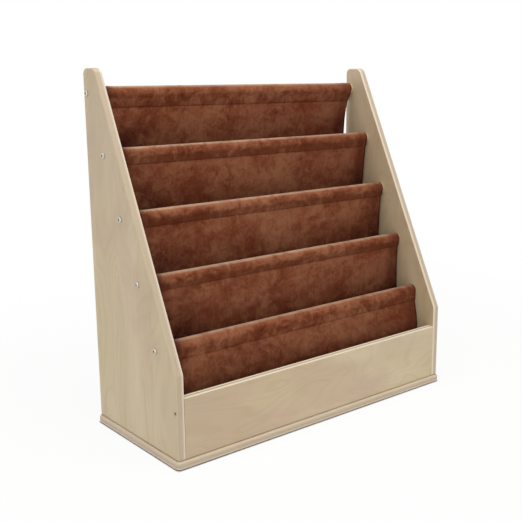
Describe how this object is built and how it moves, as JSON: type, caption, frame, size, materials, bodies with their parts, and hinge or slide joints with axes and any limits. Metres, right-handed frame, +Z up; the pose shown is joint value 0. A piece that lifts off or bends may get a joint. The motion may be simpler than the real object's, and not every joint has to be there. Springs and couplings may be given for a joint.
{
  "type": "sling bookshelf",
  "caption": "Children's bookshelf with sloping plywood sides, a base board, a low front bin and brown suede-look cloth pockets slung between round dowels.",
  "frame": {"origin": "on the floor under the middle of the base board", "axes": "+X to the right as seen from the front, +Y to the back, +Z up"},
  "size_m": [0.772, 0.321, 0.762],
  "materials": {
    "plywood": "clear satin lacquer on pale birch plywood",
    "dowel_wood": "smooth bare hardwood",
    "sling_cloth": "mottled brown suede-look cloth",
    "screw_steel": "bright zinc"
  },
  "bodies": {
    "root": {"base_board": "plywood", "left_side_panel": "plywood", "right_side_panel": "plywood", "front_panel": "plywood", "dowel_1": "dowel_wood", "dowel_2": "dowel_wood", "dowel_3": "dowel_wood", "dowel_4": "dowel_wood", "dowel_5": "dowel_wood", "sling_1": "sling_cloth", "sling_2": "sling_cloth", "sling_3": "sling_cloth", "sling_4": "sling_cloth", "dowel_screw_left_1": "screw_steel", "dowel_screw_left_2": "screw_steel", "dowel_screw_left_3": "screw_steel", "dowel_screw_left_4": "screw_steel", "dowel_screw_left_5": "screw_steel", "front_panel_screw_left": "screw_steel", "base_screw_left_1": "screw_steel", "base_screw_left_2": "screw_steel", "base_screw_left_3": "screw_steel", "dowel_screw_right_1": "screw_steel", "dowel_screw_right_2": "screw_steel", "dowel_screw_right_3": "screw_steel", "dowel_screw_right_4": "screw_steel", "dowel_screw_right_5": "screw_steel", "front_panel_screw_right": "screw_steel", "base_screw_right_1": "screw_steel", "base_screw_right_2": "screw_steel", "base_screw_right_3": "screw_steel", "base_screw_front_1": "screw_steel", "base_screw_front_2": "screw_steel", "base_screw_front_3": "screw_steel"}
  },
  "joints": []
}
